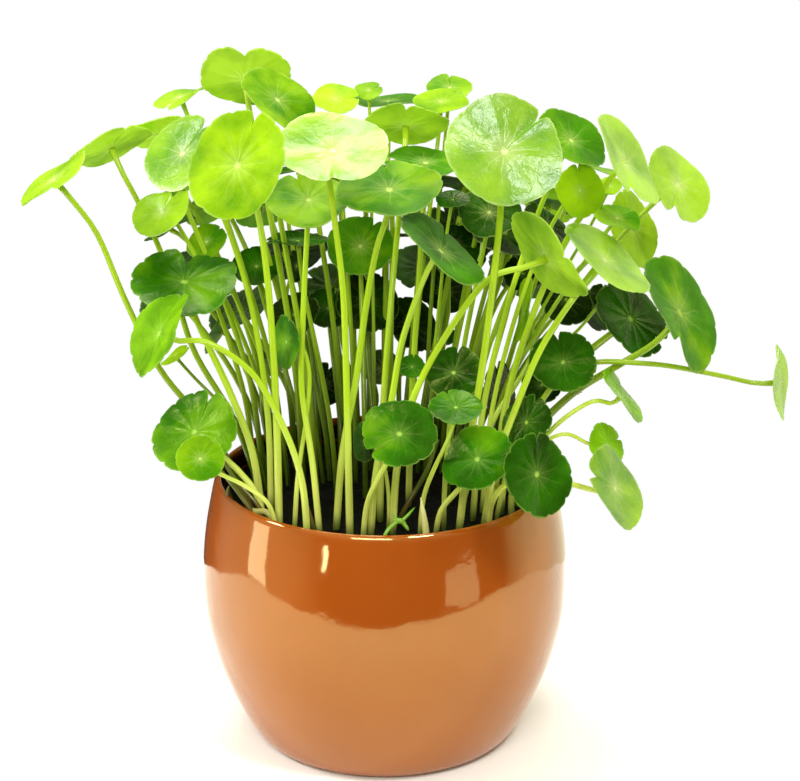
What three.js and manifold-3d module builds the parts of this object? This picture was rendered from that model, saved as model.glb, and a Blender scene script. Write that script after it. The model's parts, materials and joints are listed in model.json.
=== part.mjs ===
// Potted water pennywort: a round glazed pot, its wet soil, a stub of runner
// and the leaves, each one a round scalloped blade on its own long stalk.
// Millimetres, +Z up, origin at the middle of the pot's base, -Y to the front.
import * as THREE from 'three';
import { mergeVertices } from 'three/addons/utils/BufferGeometryUtils.js';
import Module from 'manifold-3d';

const wasm = await Module();
wasm.setup();
const radians = THREE.MathUtils.degToRad;

// Pot
const POT_HEIGHT = 116;
const BASE_RADIUS = 51.5;
const BELLY_RADIUS = 76.5;
const BELLY_HEIGHT = 68;
const MOUTH_RADIUS = 68.4;
const WALL = 4.2;
const FLOOR = 6;
const ROUND_SIDES = 32;
const OUTSIDE_STEPS = 9;
const INSIDE_STEPS = 5;

// Soil
const SOIL_TOP = 106;
const TOUCH_GAP = 0.3;
const WALL_GAP = 0.4;

// The pot's half outline as [radius, height]
const OUTSIDE = [
  [BASE_RADIUS, 0],
  [62.5, 15],
  [73.4, 45],
  [BELLY_RADIUS, BELLY_HEIGHT],
  [75, 93],
  [71.6, 112],
];
const LIP = [[70.6, 115], [69.6, POT_HEIGHT], [MOUTH_RADIUS, 115]];
const INSIDE = [
  [BASE_RADIUS - WALL, FLOOR],
  [66, 28],
  [BELLY_RADIUS - WALL, BELLY_HEIGHT],
  [MOUTH_RADIUS + 0.6, SOIL_TOP],
];

// Stalks
const STALK_FOOT_RADIUS = 1.8;
const STALK_NECK_RADIUS = 1.1;
const STALK_SIDES = 5;
const STALK_STATIONS = [0, 0.22, 0.44, 0.64, 0.82, 0.93, 1];
const STALK_RISE = 0.42;
const NECK_SHARE = 0.3;
const NECK_MOST = 22;
const KNEE_HEIGHT = 12;
const NECK_BEND = 6;
const STALK_CLEARANCE = 4.3;

// Blades
const BLADE_THICKNESS = 0.8;
const RIM_POINTS = 11;
const NOTCH_HALF_WIDTH = radians(13);
const NOTCH_DEPTH = 0.45;
const USUAL_CUP = 0.04;
const RIM_WAVE = 0.05;
const RIM_WAVES = 3;
const MEAN_SINE = 2 / Math.PI;
const BLADE_CLEARANCE = 2.6;
const CROWN_HEIGHT = 205;

// Room between neighbours
const ROOM_ROUNDS = 60;
const PUSH = 0.5;
const STIFFNESS = 0.15;

// Runner
const RUNNER_RADIUS = 1.6;
const RUNNER_SIDES = 6;
const RUNNER_STEPS = 3;
const RUNNER_ROUTE = [[-59, -19], [-54, -23], [-48, -24]];

const GLAZE = { color: 0xb8662c, roughness: 0.18, metalness: 0 };
const WET_SOIL = { color: 0x15120f, roughness: 0.75, metalness: 0 };
const OLD_STALK = { color: 0xb9ab3c, roughness: 0.55, metalness: 0 };
const BRIGHT_LEAF = { color: 0x7fb51e, roughness: 0.35, metalness: 0 };
const DEEP_LEAF = { color: 0x2f6f14, roughness: 0.4, metalness: 0 };

// Each leaf: hub is where the stalk meets the blade and foot where it leaves the
// soil. lean is the blade's angle from level and toward the compass turn of its
// lower edge (0 front, 90 right). notch is the turn of the cleft in the blade,
// counted from its lower edge. cup is how much the rim rises over the radius.
// fold bends the blade along its crease, or along the notch if it has none: both
// wings rise and the crease sinks. route leads a stalk from foot to hub.
// Leaves low down are deep green, except for the young ones.
const LEAVES = [
  // Crown, left to right
  { hub: [-133, -3, 244], radius: 17, lean: 35, toward: -86, notch: 90, foot: [-55, -10],
    route: [[-81, -18, 150], [-100, -12, 183], [-119, -3, 226]] },
  { hub: [-112, 24, 250], radius: 18, lean: 38, toward: -143, notch: 180, foot: [-50, -4],
    route: [[-76, 4, 161], [-92, 14, 209]] },
  { hub: [-93, 38, 252], radius: 16, lean: 36, toward: -168, notch: 120, foot: [-51, 15] },
  { hub: [-85, 52, 264], radius: 12, lean: 18, toward: -92, notch: 60, fold: 0.25, foot: [-42, 22] },
  { hub: [-80, -18, 259], radius: 17, lean: 48, toward: -37, notch: 160, foot: [-47, -18] },
  { hub: [-57, 35, 276], radius: 19, lean: 54, toward: -177, notch: 180, cup: 0.12, foot: [-34, 8] },
  { hub: [-56, -60, 266], radius: 22, lean: 60, toward: -34, notch: 175, foot: [-43, -38] },
  { hub: [-43, 5, 275], radius: 17, lean: 41, toward: 57, notch: 240, fold: 0.25, crease: 0,
    foot: [-28, -6] },
  { hub: [-30, -36, 245], radius: 17, lean: 22, toward: 0, notch: 200, foot: [-26, -45],
    route: [[-33, -38, 162], [-32, -37, 204]] },
  { hub: [-20, -54, 270], radius: 22, lean: 23, toward: 0, notch: 0, cup: 0.08, foot: [-14, -47],
    route: [[-14, -45, 165], [-14, -48, 211], [-17, -51, 247]] },
  { hub: [-20, 45, 265], radius: 10, lean: 22, toward: 0, notch: 90, foot: [-12, 14] },
  { hub: [2, 72, 257], radius: 16, lean: 6, toward: 180, notch: 250, foot: [0, 32] },
  { hub: [2, -46, 252], radius: 21, lean: 15, toward: -17, notch: 200, foot: [-20, -38],
    route: [[-10, -41, 180], [-5, -43, 219]] },
  { hub: [9, 28, 258], radius: 18, lean: 40, toward: 180, notch: 180, foot: [-2, -28] },
  { hub: [24, 56, 261], radius: 12, lean: 10, toward: 0, notch: 140, foot: [10, 14] },
  { hub: [28, 76, 262], radius: 10, lean: 16, toward: 0, notch: 180, foot: [18, 34] },
  { hub: [46, -62, 272], radius: 23, lean: 53, toward: 14, notch: 128, foot: [30, -41],
    route: [[34, -42, 163], [40, -47, 212], [44, -53, 248]] },
  { hub: [75, -6, 261], radius: 16, lean: 34, toward: 44, notch: 250, fold: 0.2, crease: 60,
    foot: [36, -28] },
  { hub: [78, -20, 244], radius: 11, lean: 72, toward: 29, notch: 180, foot: [40, -20] },
  { hub: [95, -24, 257], radius: 21, lean: 55, toward: 75, notch: 300, cup: 0.1, foot: [45, -13] },
  { hub: [120, 10, 238], radius: 17, lean: 55, toward: 52, notch: 310, fold: 0.1, crease: 310,
    foot: [48, -3] },

  // Upper middle, in the shade of the crown
  { hub: [-90, 2, 229], radius: 13, lean: 34, toward: -42, notch: 200, fold: 0.3, crease: 20,
    foot: [-54, 4] },
  { hub: [-10, 26, 207], radius: 14, lean: 47, toward: 0, notch: 150, foot: [-8, -4] },
  { hub: [22, -62, 232], radius: 20, lean: 38, toward: 79, notch: 100, cup: 0.06, foot: [-6, -46],
    route: [[3, -48, 166], [8, -52, 196], [18, -60, 226]] },
  { hub: [43, 4, 228], radius: 13, lean: 37, toward: 0, notch: 200, foot: [26, -10] },
  { hub: [64, -42, 223], radius: 22, lean: 62, toward: 122, notch: 250, fold: 0.12, crease: 70,
    foot: [3, -42], route: [[11, -50, 165], [22, -50, 189], [46, -46, 219]] },
  { hub: [88, -30, 218], radius: 21, lean: 36, toward: 78, notch: 200, cup: 0.08, foot: [40, -36],
    route: [[49, -37, 144], [58, -37, 174], [76, -34, 205]] },
  { hub: [104, 34, 212], radius: 17, lean: 66, toward: 60, notch: 180, foot: [45, 23] },

  // Right side, down to the pot
  { hub: [121, -6, 188], radius: 25, lean: 60, toward: 66, notch: 290, fold: 0.22, crease: 0,
    young: true, foot: [56, 4] },
  { hub: [102, 8, 181], radius: 18, lean: 48, toward: 47, notch: 30, foot: [52, 13] },
  { hub: [76, 24, 184], radius: 12, lean: 46, toward: 18, notch: 200, foot: [36, 14] },
  { hub: [73, -15, 170], radius: 14, lean: 45, toward: 0, notch: 190, foot: [48, -22] },
  { hub: [162, -10, 159], radius: 16, lean: 82, toward: 76, notch: 180, cup: 0.06, young: true,
    foot: [56, -5], route: [[70, -9, 157], [84, -11, 165], [105, -12, 167], [129, -11, 165]] },
  { hub: [97, -20, 157], radius: 13, lean: 52, toward: 86, notch: 100, foot: [55, -13],
    route: [[72, -24, 147], [84, -22, 155]] },
  { hub: [91, -22, 137], radius: 9, lean: 54, toward: 45, notch: 90, fold: 0.3, crease: 90,
    foot: [52, -19], route: [[64, -24, 139], [75, -25, 143]] },
  { hub: [93, -46, 127], radius: 18, lean: 60, toward: 66, notch: 230, young: true,
    foot: [52, -27], route: [[62, -40, 126], [76, -46, 129]] },
  { hub: [60, -70, 142], radius: 17, lean: 68, toward: 40, notch: 165, foot: [42, -41] },

  // Low in front
  { hub: [28, -37, 173], radius: 12, lean: 42, toward: 0, notch: 170, foot: [24, -38] },
  { hub: [28, -64, 168], radius: 11, lean: 16, toward: 0, notch: 200, foot: [14, -45] },
  { hub: [37, -58, 144], radius: 15, lean: 40, toward: -30, notch: 110, fold: 0.15, crease: 110,
    foot: [20, -47] },
  { hub: [6, -72, 160], radius: 15, lean: 42, toward: 0, notch: 305, cup: 0.08, foot: [-9, -50] },
  { hub: [-39, -36, 186], radius: 11, lean: 82, toward: -60, notch: 170, foot: [-37, -42] },

  // Left side, down to the pot
  { hub: [-81, -10, 203], radius: 22, lean: 20, toward: 0, notch: 180, fold: 0.18, crease: 180,
    foot: [-50, -27] },
  { hub: [-89, -46, 193], radius: 19, lean: 56, toward: -69, notch: 200, fold: 0.25, crease: 10,
    foot: [-31, -49], route: [[-38, -48, 148], [-54, -46, 178], [-72, -46, 190]] },
  { hub: [-77, -32, 146], radius: 19, lean: 43, toward: -35, notch: 180, fold: 0.18, crease: 80,
    foot: [-49, -34] },
  { hub: [-73, -62, 146], radius: 10, lean: 43, toward: 0, notch: 150, young: true, foot: [-43, -43] },
  { hub: [-54, 42, 193], radius: 11, lean: 28, toward: 0, notch: 140, foot: [-34, 20] },

  // Seen through the stalks
  { hub: [-70, 55, 160], radius: 12, lean: 60, toward: -115, notch: 200, fold: 0.2, crease: 40,
    foot: [-46, 26] },
  { hub: [-24, 52, 171], radius: 11, lean: 32, toward: 0, notch: 160, foot: [-18, 24] },
  { hub: [-27, 64, 132], radius: 11, lean: 75, toward: 180, notch: 200, foot: [-24, 40] },
  { hub: [26, 58, 177], radius: 12, lean: 70, toward: 170, notch: 170, foot: [14, 24] },

  // Back of the clump
  { hub: [-70, 66, 215], radius: 18, lean: 50, toward: -135, notch: 160, cup: 0.08, foot: [-38, 32] },
  { hub: [-40, 84, 185], radius: 17, lean: 55, toward: -160, notch: 200, fold: 0.15, foot: [-28, 44] },
  { hub: [-8, 90, 215], radius: 18, lean: 45, toward: 180, notch: 230, cup: 0.08, foot: [-6, 38] },
  { hub: [34, 88, 195], radius: 18, lean: 55, toward: 165, notch: 150, foot: [22, 44] },
  { hub: [66, 72, 215], radius: 18, lean: 50, toward: 140, notch: 200, fold: 0.15, foot: [34, 32] },
  { hub: [84, 58, 172], radius: 17, lean: 58, toward: 120, notch: 180, foot: [46, 30] },
];

// Solids from geometry and back

function toSolid(geometry) {
  const bare = geometry.clone();
  bare.deleteAttribute('normal');
  bare.deleteAttribute('uv');
  const merged = mergeVertices(bare, 1e-4);
  const mesh = new wasm.Mesh({
    numProp: 3,
    vertProperties: Float32Array.from(merged.attributes.position.array),
    triVerts: Uint32Array.from(merged.index.array),
  });
  return new wasm.Manifold(mesh);
}

function toGeometry(solid) {
  const mesh = solid.getMesh();
  const geometry = new THREE.BufferGeometry();
  geometry.setAttribute('position', new THREE.BufferAttribute(mesh.vertProperties, 3));
  geometry.setIndex(new THREE.BufferAttribute(mesh.triVerts, 1));
  const flat = geometry.toNonIndexed();
  flat.computeVertexNormals();
  return flat;
}

function namedMesh(name, geometry, finish) {
  const mesh = new THREE.Mesh(geometry, new THREE.MeshStandardMaterial(finish));
  mesh.name = name;
  return mesh;
}

// Turns a half outline of [radius, height] points round the upright axis.
function turned(outline) {
  const points = outline.map(([radius, height]) => new THREE.Vector2(radius, height));
  const geometry = new THREE.LatheGeometry(points, ROUND_SIDES);
  geometry.rotateX(Math.PI / 2);
  return geometry;
}

// Pot and soil

function smoothOutline(points, steps) {
  const curve = new THREE.SplineCurve(points.map(([radius, height]) => new THREE.Vector2(radius, height)));
  return curve.getPoints(steps).map((point) => [point.x, point.y]);
}

function potGeometry() {
  const outside = smoothOutline(OUTSIDE, OUTSIDE_STEPS);
  const inside = smoothOutline(INSIDE, INSIDE_STEPS).reverse();
  return toGeometry(toSolid(turned([[0, 0], ...outside, ...LIP, ...inside, [0, FLOOR]])));
}

function soilGeometry() {
  const side = smoothOutline(INSIDE, INSIDE_STEPS).map(([radius, height]) => [radius - WALL_GAP, height]);
  side[0][1] += WALL_GAP;
  return toGeometry(toSolid(turned([[0, side[0][1]], ...side, [0, SOIL_TOP]])));
}

// Blades

// How far the blade stands over its hub's level, for each millimetre out from
// the hub, in the direction turn.
function slopeAt(leaf, turn) {
  const wings = Math.abs(Math.sin(turn - radians(leaf.crease ?? leaf.notch))) - MEAN_SINE;
  const wave = RIM_WAVE * Math.sin(RIM_WAVES * turn + leaf.radius);
  return (leaf.cup ?? USUAL_CUP) + (leaf.fold ?? 0) * wings + wave;
}

// The turn of rim point number k: point 0 is the bottom of the notch, its two
// neighbours are the notch's lips, and the others are spaced evenly.
function rimTurn(leaf, k) {
  const notch = radians(leaf.notch);
  if (k === 0) return notch;
  const evenStep = (2 * Math.PI - 2 * NOTCH_HALF_WIDTH) / (RIM_POINTS - 2);
  return notch + NOTCH_HALF_WIDTH + (k - 1) * evenStep;
}

function bladePlacement(leaf) {
  const turn = new THREE.Matrix4().makeRotationZ(radians(leaf.toward));
  const tip = new THREE.Matrix4().makeRotationX(radians(leaf.lean));
  const place = new THREE.Matrix4().makeTranslation(...leaf.hub);
  return place.multiply(turn).multiply(tip);
}

function bladeGeometry(leaf) {
  const disc = new THREE.CylinderGeometry(1, 1, BLADE_THICKNESS, RIM_POINTS, 1);
  disc.rotateX(Math.PI / 2);
  const position = disc.attributes.position;
  for (let i = 0; i < position.count; i += 1) {
    const x = position.getX(i);
    const y = position.getY(i);
    if (Math.hypot(x, y) < 0.5) continue;
    const around = Math.atan2(x, -y) / (2 * Math.PI);
    const k = Math.round((around + 1) * RIM_POINTS) % RIM_POINTS;
    const turn = rimTurn(leaf, k);
    const reach = leaf.radius * (k === 0 ? NOTCH_DEPTH : 1);
    const rise = reach * slopeAt(leaf, turn);
    position.setXYZ(i, reach * Math.sin(turn), -reach * Math.cos(turn), position.getZ(i) + rise);
  }
  disc.applyMatrix4(bladePlacement(leaf));
  return disc;
}

// Stalks

function bladeNormal(leaf) {
  return new THREE.Vector3(0, 0, 1).transformDirection(bladePlacement(leaf));
}

// The stalk's free line: upright out of the soil, then over to the hub, which
// it meets square to the blade.
function stalkLine(leaf) {
  const foot = new THREE.Vector3(...leaf.foot, SOIL_TOP + TOUCH_GAP);
  const hub = new THREE.Vector3(...leaf.hub);
  const span = foot.distanceTo(hub);
  const neckLength = Math.min(NECK_MOST, span * NECK_SHARE);
  const neck = hub.clone().addScaledVector(bladeNormal(leaf), -neckLength);
  const rise = foot.clone().setZ(foot.z + span * STALK_RISE);
  if (!leaf.route) {
    const curve = new THREE.CubicBezierCurve3(foot, rise, neck, hub);
    return STALK_STATIONS.map((t) => curve.getPoint(t));
  }
  const knee = foot.clone().setZ(foot.z + KNEE_HEIGHT);
  const bend = hub.clone().addScaledVector(bladeNormal(leaf), -NECK_BEND);
  const along = leaf.route.map((point) => new THREE.Vector3(...point));
  const curve = new THREE.CatmullRomCurve3([foot, knee, ...along, bend, hub]);
  return STALK_STATIONS.map((t) => curve.getPointAt(t));
}

function movePoint(line, index, shift, share) {
  if (index === 0 || index === line.length - 1) return;
  line[index].addScaledVector(shift, share);
}

// The closest points of the stretches p0-p1 and q0-q1.
function closestPoints(p0, p1, q0, q1) {
  const u = p1.clone().sub(p0);
  const v = q1.clone().sub(q0);
  const w = p0.clone().sub(q0);
  const uu = u.dot(u);
  const uv = u.dot(v);
  const vv = v.dot(v);
  const clamp = THREE.MathUtils.clamp;
  const square = uu * vv - uv * uv;
  let s = square > 1e-6 ? clamp((uv * v.dot(w) - vv * u.dot(w)) / square, 0, 1) : 0.5;
  const t = clamp((uv * s + v.dot(w)) / vv, 0, 1);
  s = clamp((uv * t - u.dot(w)) / uu, 0, 1);
  return { s, t, onA: p0.clone().addScaledVector(u, s), onB: q0.clone().addScaledVector(v, t) };
}

// Pushes apart two stretches of stalk that run too close.
function partStretches(a, i, b, j) {
  const near = closestPoints(a[i], a[i + 1], b[j], b[j + 1]);
  const apart = near.onA.clone().sub(near.onB);
  const distance = apart.length();
  if (distance >= STALK_CLEARANCE || distance === 0) return;
  apart.multiplyScalar((PUSH * (STALK_CLEARANCE - distance)) / distance);
  movePoint(a, i, apart, 1 - near.s);
  movePoint(a, i + 1, apart, near.s);
  movePoint(b, j, apart, near.t - 1);
  movePoint(b, j + 1, apart, -near.t);
}

// How far a point in a blade's own frame stands over the blade's surface.
function heightOver(leaf, point) {
  const turn = Math.atan2(point.x, -point.y);
  return point.z - Math.hypot(point.x, point.y) * slopeAt(leaf, turn);
}

// Moves a stretch of stalk round the rim of a neighbour's blade where it runs
// through it, and off its face where it runs too close.
function clearBlade(line, i, blade) {
  const start = line[i].clone().applyMatrix4(blade.inward);
  const end = line[i + 1].clone().applyMatrix4(blade.inward);
  const startOver = heightOver(blade.leaf, start);
  const endOver = heightOver(blade.leaf, end);
  const through = startOver * endOver < 0;
  const t = through ? startOver / (startOver - endOver) : Number(Math.abs(endOver) < Math.abs(startOver));
  const near = start.clone().lerp(end, t);
  const inside = blade.leaf.radius + BLADE_CLEARANCE - Math.hypot(near.x, near.y);
  if (inside <= 0) return;
  const over = through ? 0 : heightOver(blade.leaf, near);
  const lift = BLADE_CLEARANCE - Math.abs(over);
  if (lift <= 0) return;
  const shift = new THREE.Vector3(near.x, near.y, 0).setLength(inside);
  if (!through && lift < inside) shift.set(0, 0, lift * Math.sign(over));
  shift.multiplyScalar(PUSH).applyQuaternion(blade.facing);
  movePoint(line, i, shift, 1 - t);
  movePoint(line, i + 1, shift, t);
}

// Evens out how far neighbouring points of a stalk were moved, so it bends softly.
function soften(line, free) {
  const moved = line.map((point, i) => point.clone().sub(free[i]));
  for (let i = 1; i < line.length - 1; i += 1) {
    const even = moved[i - 1].clone().add(moved[i + 1]).multiplyScalar(0.5);
    line[i].addScaledVector(even.sub(moved[i]), STIFFNESS);
  }
}

// Lets the stalks bend aside until none runs through another or a blade.
function makeRoom(leaves) {
  const lines = leaves.map(stalkLine);
  const free = lines.map((line) => line.map((point) => point.clone()));
  const stretches = STALK_STATIONS.slice(1).map((_, i) => i);
  const blades = leaves.map((leaf) => {
    const placement = bladePlacement(leaf);
    const facing = new THREE.Quaternion().setFromRotationMatrix(placement);
    return { leaf, facing, inward: placement.invert() };
  });
  for (let round = 0; round < ROOM_ROUNDS; round += 1) {
    lines.forEach((a, first) => lines.slice(first + 1).forEach((b) => {
      stretches.forEach((i) => stretches.forEach((j) => partStretches(a, i, b, j)));
    }));
    lines.forEach((line, own) => blades.forEach((blade, other) => {
      if (own !== other) stretches.forEach((i) => clearBlade(line, i, blade));
    }));
    lines.forEach((line, index) => soften(line, free[index]));
  }
  return lines;
}

function stalkGeometry(line) {
  const curve = new THREE.CatmullRomCurve3(line);
  // The rings stand at the line's own points, which lie closer near the neck.
  curve.getUtoTmapping = (u) => u;
  const round = new THREE.EllipseCurve(0, 0, STALK_FOOT_RADIUS, STALK_FOOT_RADIUS);
  const section = round.getPoints(STALK_SIDES);
  const stalk = new THREE.ExtrudeGeometry(new THREE.Shape(section.slice(1)), {
    steps: line.length - 1,
    bevelEnabled: false,
    extrudePath: curve,
  });
  const position = stalk.attributes.position;
  for (let i = 0; i < position.count; i += 1) {
    const point = new THREE.Vector3().fromBufferAttribute(position, i);
    const away = line.map((middle) => middle.distanceTo(point));
    const ring = away.indexOf(Math.min(...away));
    const slim = 1 - (1 - STALK_NECK_RADIUS / STALK_FOOT_RADIUS) * STALK_STATIONS[ring];
    point.lerp(line[ring], 1 - slim);
    if (ring === 0) point.z = SOIL_TOP + TOUCH_GAP;
    position.setXYZ(i, point.x, point.y, point.z);
  }
  return stalk;
}

// The runner lies on the soil by the front left of the rim.
function runnerGeometry() {
  const height = SOIL_TOP + TOUCH_GAP + RUNNER_RADIUS;
  const route = RUNNER_ROUTE.map(([x, y]) => new THREE.Vector3(x, y, height));
  const round = new THREE.EllipseCurve(0, 0, RUNNER_RADIUS, RUNNER_RADIUS);
  return new THREE.ExtrudeGeometry(new THREE.Shape(round.getPoints(RUNNER_SIDES)), {
    steps: RUNNER_STEPS,
    bevelEnabled: false,
    extrudePath: new THREE.CatmullRomCurve3(route),
  });
}

function leafGeometry(leaf, line) {
  return toGeometry(toSolid(bladeGeometry(leaf)).add(toSolid(stalkGeometry(line))));
}

const model = new THREE.Group();
model.add(namedMesh('pot', potGeometry(), GLAZE));
model.add(namedMesh('soil', soilGeometry(), WET_SOIL));
model.add(namedMesh('runner', runnerGeometry(), OLD_STALK));
const lines = makeRoom(LEAVES);
LEAVES.forEach((leaf, index) => {
  const name = `leaf_${String(index + 1).padStart(2, '0')}`;
  const finish = leaf.young || leaf.hub[2] > CROWN_HEIGHT ? BRIGHT_LEAF : DEEP_LEAF;
  model.add(namedMesh(name, leafGeometry(leaf, lines[index]), finish));
});

export default model;
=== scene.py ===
"""A water pennywort in a glazed pot: its looks, built on the CAD frame, in metres."""
import json
import math
import random

import bpy
import numpy as np
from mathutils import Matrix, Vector, noise
from mathutils.kdtree import KDTree


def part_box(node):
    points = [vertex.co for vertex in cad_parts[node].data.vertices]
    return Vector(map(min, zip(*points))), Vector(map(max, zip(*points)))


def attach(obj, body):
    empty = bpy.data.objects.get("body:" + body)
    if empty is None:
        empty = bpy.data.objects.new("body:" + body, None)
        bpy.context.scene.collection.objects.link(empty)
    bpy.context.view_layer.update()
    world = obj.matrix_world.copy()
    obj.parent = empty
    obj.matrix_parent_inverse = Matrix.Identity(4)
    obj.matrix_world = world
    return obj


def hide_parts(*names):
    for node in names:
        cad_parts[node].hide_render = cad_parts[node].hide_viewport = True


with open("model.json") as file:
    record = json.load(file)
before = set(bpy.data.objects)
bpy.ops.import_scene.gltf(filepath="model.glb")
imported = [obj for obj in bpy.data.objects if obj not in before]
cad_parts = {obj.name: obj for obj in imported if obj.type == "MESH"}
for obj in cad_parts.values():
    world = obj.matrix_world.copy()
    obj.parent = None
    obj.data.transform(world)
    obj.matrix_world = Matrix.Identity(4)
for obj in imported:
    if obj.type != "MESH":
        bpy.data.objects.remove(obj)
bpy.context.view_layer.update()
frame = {"nodes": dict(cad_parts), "record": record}

MM = 0.001
BODY = "root"
TAU = 2 * math.pi

# The camera that took the photo: its place, what it points at, its lens and sensor in mm
CAMERA_PLACE = (0, -1.2, 0.584)
CAMERA_AIM = (0.00649, 0, 0.15239)
CAMERA_LENS = 138.35
SENSOR_WIDTH = 36

# What the frame gives: the soil's level, the solid leaves and each node's material slot
SOIL_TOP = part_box("soil")[1].z
LEAF_NODES = sorted(name for name in frame["nodes"] if name.startswith("leaf_"))
SLOT_OF = {part["node"]: part["material_slot"] for part in frame["record"]["subparts"]}

# The leaf form: lobes and steps round its rim, rings by their share of its radius, and the
# sides, rings, radius and top of its stalk
LOBES = 11
RIM_STEPS = 12 * LOBES
RINGS = (0.97, 0.93, 0.87, 0.8, 0.72, 0.63, 0.54, 0.45, 0.36, 0.28, 0.2, 0.14, 0.09)
FORM_THICKNESS = 0.02
STALK_SIDES = 12
STALK_RINGS = 30
FORM_STALK_RADIUS = 0.05
FORM_NECK_TOP = -0.08

# Real measures of a leaf: the stalk's radius at its neck is the least one and a share of
# the blade's radius, it thickens down to its foot, and the foot is sunk in the soil
BLADE_THICKNESS = 0.45 * MM
MARGIN_THICKNESS = 0.28 * MM
NECK_LEAST = 0.4 * MM
NECK_SHARE = 0.034
NECK_FLARE = 0.45
FOOT_TO_NECK = 1.4
FOOT_DEPTH = 4 * MM
STALK_STEPS = 60

# A blade's form, in shares of its radius: how uneven its rim is, how far the lips of the
# cleft rise and part, the dimple at the hub, the bent margin, the veins underneath, and
# its swellings, as their scale per metre and their height
RIM_WOBBLE = (0.004, 0.016)
LIP_RISE = 0.045
LIP_PART = 0.16
DIMPLE_DEPTH = 0.03
DIMPLE_REACH = 0.1
MARGIN_FROM = 0.9
MARGIN_BEND = 0.05
VEIN_RELIEF = 0.02
SWELLINGS = ((75, 0.026), (300, 0.005))

# Reading the solids: how near doubles lie, how level a triangle of the blade's top is,
# and how many rings of the stalk are read
WELD = 1e-6
LEVEL_ENOUGH = 0.5
RINGS_READ = 6

# How planned leaves keep clear of the others: the gaps they need, the spots looked at along
# a stalk, the steps and the share of each push, and how far out a stalk's foot may stand
BLADE_GAP = 5 * MM
STALK_GAP = 3.4 * MM
STALK_SPOTS = 36
SETTLE_STEPS = 24
NUDGE = 0.7
FOOT_REACH = 63 * MM

# Blades whose cleft isn't the usual one: half its width in degrees and its depth
CLEFT = (9, 0.24)
CLEFTS = {
    "leaf_06": (26, 0.26),
    "leaf_07": (9, 0.34),
    "leaf_10": (34, 0.15),
    "leaf_17": (8, 0.2),
    "leaf_21": (17, 0.32),
    "leaf_43": (15, 0.42),
}

# A planned leaf's stalk is a curve that leaves the soil upright and meets the blade
# squarely: how far both hold, as shares of its reach, and where its points are
UPRIGHT_SHARE = 0.42
NECK_HOLD_SHARE = 0.3
NECK_HOLD = 22 * MM
CURVE_STEPS = (0, 0.2, 0.4, 0.6, 0.78, 0.92)

# Leaves past the solids: hub and foot in mm, radius, lean, compass turn of the
# lower edge, turn of the cleft, and the leaf's tone from 0 to 1, partly its own green and partly painted
# light and shade
MORE_LEAVES = [
    ((-6, 60, 263), (-4, 20), 6, 23, 0, 120, 0.7),
    ((17, -2, 251), (10, -12), 17, 6, 0, 260, 0.55),
    ((92, 5, 239), (40, 0), 5, 28, 0, 90, 1.0),
    ((26, 0, 234), (18, 2), 7, 14, 0, 90, 0.45),
    ((92, 2, 226), (38, -8), 10, 18, 47, 90, 0.7),
    ((67, 10, 221), (34, 8), 11.5, 38, 65, 150, 0.1),
    ((-36, 12, 214), (-20, -2), 13, 5, 180, 90, 0.3),
    ((-37, 40, 194), (-26, 14), 7, 80, 56, 200, 0.2),
    ((94, 12, 190), (46, 8), 7, 46, 40, 150, 0.2),
    ((59, 45, 189), (28, 22), 8.5, 47, 0, 200, 0.0),
    ((59, 4, 184), (32, -18), 14, 78, -86, 200, 0.8),
    ((12, -40, 175), (4, -34), 5.5, 39, 0, 170, 0.45),
    ((-5, 60, 172), (-6, 30), 8.5, 40, 0, 160, 0.0),
    ((-88, 20, 161), (-50, 6), 7, 32, -89, 200, 1.0),
    ((12, 70, 155), (8, 44), 8, 35, 0, 190, 0.1),
    ((68, 10, 149), (40, 4), 8.5, 44, 0, 210, 0.2),
    ((24, 80, 149), (16, 50), 8, 18, 0, 150, 0.2),
    ((57, -26, 148), (46, -28), 12, 54, -47, 180, 0.3),
    ((49, 14, 148), (30, 10), 12, 78, 58, 180, 0.0),
    ((-8, -30, 141), (2, -40), 8.5, 80, -61, 200, 0.4),
]
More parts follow.
